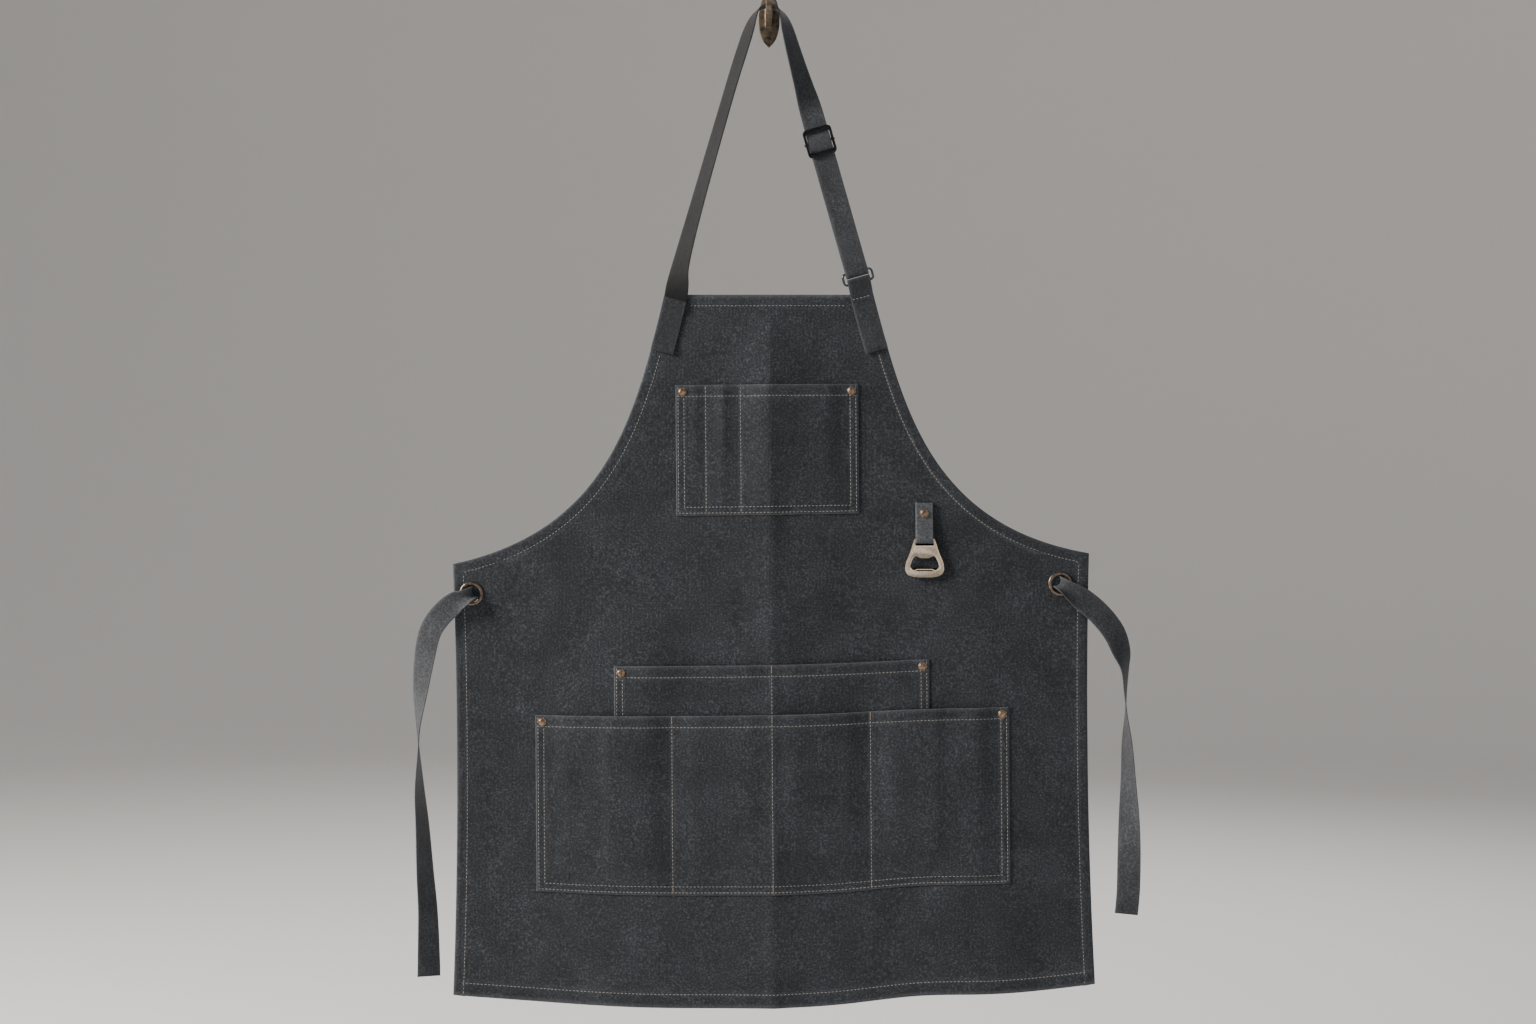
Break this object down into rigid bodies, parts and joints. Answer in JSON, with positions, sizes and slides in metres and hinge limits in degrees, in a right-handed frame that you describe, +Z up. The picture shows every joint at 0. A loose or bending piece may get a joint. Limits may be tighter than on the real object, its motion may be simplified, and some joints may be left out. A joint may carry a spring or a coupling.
{
  "type": "apron on a wall hook",
  "caption": "Dark canvas bib apron with pockets, adjustable neck strap, waist ties and a bottle opener, hanging from a small cast wall hook.",
  "frame": {"origin": "centre of the hook plate's back face, on the wall", "axes": "+Z up, +Y into the wall, +X to the right of someone who faces the wall"},
  "size_m": [0.7865, 0.0758, 1.0996],
  "materials": {
    "canvas": "waxed cotton canvas, faded charcoal, matt",
    "webbing": "woven cotton strap, charcoal grey, matt",
    "copper": "aged copper plate, satin",
    "bronze": "antique brass, rolled and rubbed",
    "gunmetal": "black nickel plate with bright worn edges",
    "opener_metal": "champagne nickel plate, tumbled satin",
    "hook_metal": "bronzed cast iron, mottled"
  },
  "bodies": {
    "hook": {"hook_casting": "hook_metal", "hook_screw_upper": "hook_metal", "hook_screw_lower": "hook_metal"},
    "neck_strap": {"neck_strap": "webbing", "ring_loop": "webbing", "strap_ring": "gunmetal"},
    "slider": {"slider_frame": "gunmetal", "slider_bar": "gunmetal"},
    "apron": {"apron_panel": "canvas", "chest_pocket": "canvas", "upper_pocket": "canvas", "lower_pocket": "canvas", "strap_anchor_left": "webbing", "strap_anchor_right": "webbing", "opener_tab": "webbing", "rivet_chest_left": "copper", "rivet_chest_right": "copper", "rivet_upper_left": "copper", "rivet_upper_right": "copper", "rivet_lower_left": "copper", "rivet_lower_right": "copper", "rivet_opener_tab": "copper", "rivet_back_chest_left": "copper", "rivet_back_chest_right": "copper", "rivet_back_upper_left": "copper", "rivet_back_upper_right": "copper", "rivet_back_lower_left": "copper", "rivet_back_lower_right": "copper", "rivet_back_opener_tab": "copper", "eyelet_left": "bronze", "eyelet_washer_left": "bronze", "eyelet_right": "bronze", "eyelet_washer_right": "bronze"},
    "opener": {"bottle_opener": "opener_metal"},
    "left_tie": {"tie_left": "webbing", "tie_left_knot": "webbing"},
    "right_tie": {"tie_right": "webbing", "tie_right_knot": "webbing"}
  },
  "joints": [
    {"name": "lift_off", "type": "slide", "parent": "hook", "child": "neck_strap", "axis": [0, 0, 1], "range_m": [0, 0.05]},
    {"name": "bib_fold", "type": "hinge", "parent": "neck_strap", "child": "apron", "pos_m": [0, -0.0143, -0.3], "axis": [1, 0, 0], "range_deg": [-60, 0]},
    {"name": "slider_slide", "type": "slide", "parent": "neck_strap", "child": "slider", "axis": [0.2748, 0.022, -0.9612], "range_m": [0, 0.09]},
    {"name": "opener_swing", "type": "hinge", "parent": "apron", "child": "opener", "pos_m": [0.1678, -0.0202, -0.5655], "axis": [1, 0, 0], "range_deg": [-110, 0]},
    {"name": "left_tie_swing", "type": "hinge", "parent": "apron", "child": "left_tie", "pos_m": [-0.3214, -0.0155, -0.6233], "axis": [0, 1, 0], "range_deg": [0, 30]},
    {"name": "right_tie_swing", "type": "hinge", "parent": "apron", "child": "right_tie", "pos_m": [0.3146, -0.0155, -0.6126], "axis": [0, 1, 0], "range_deg": [-30, 0]}
  ]
}
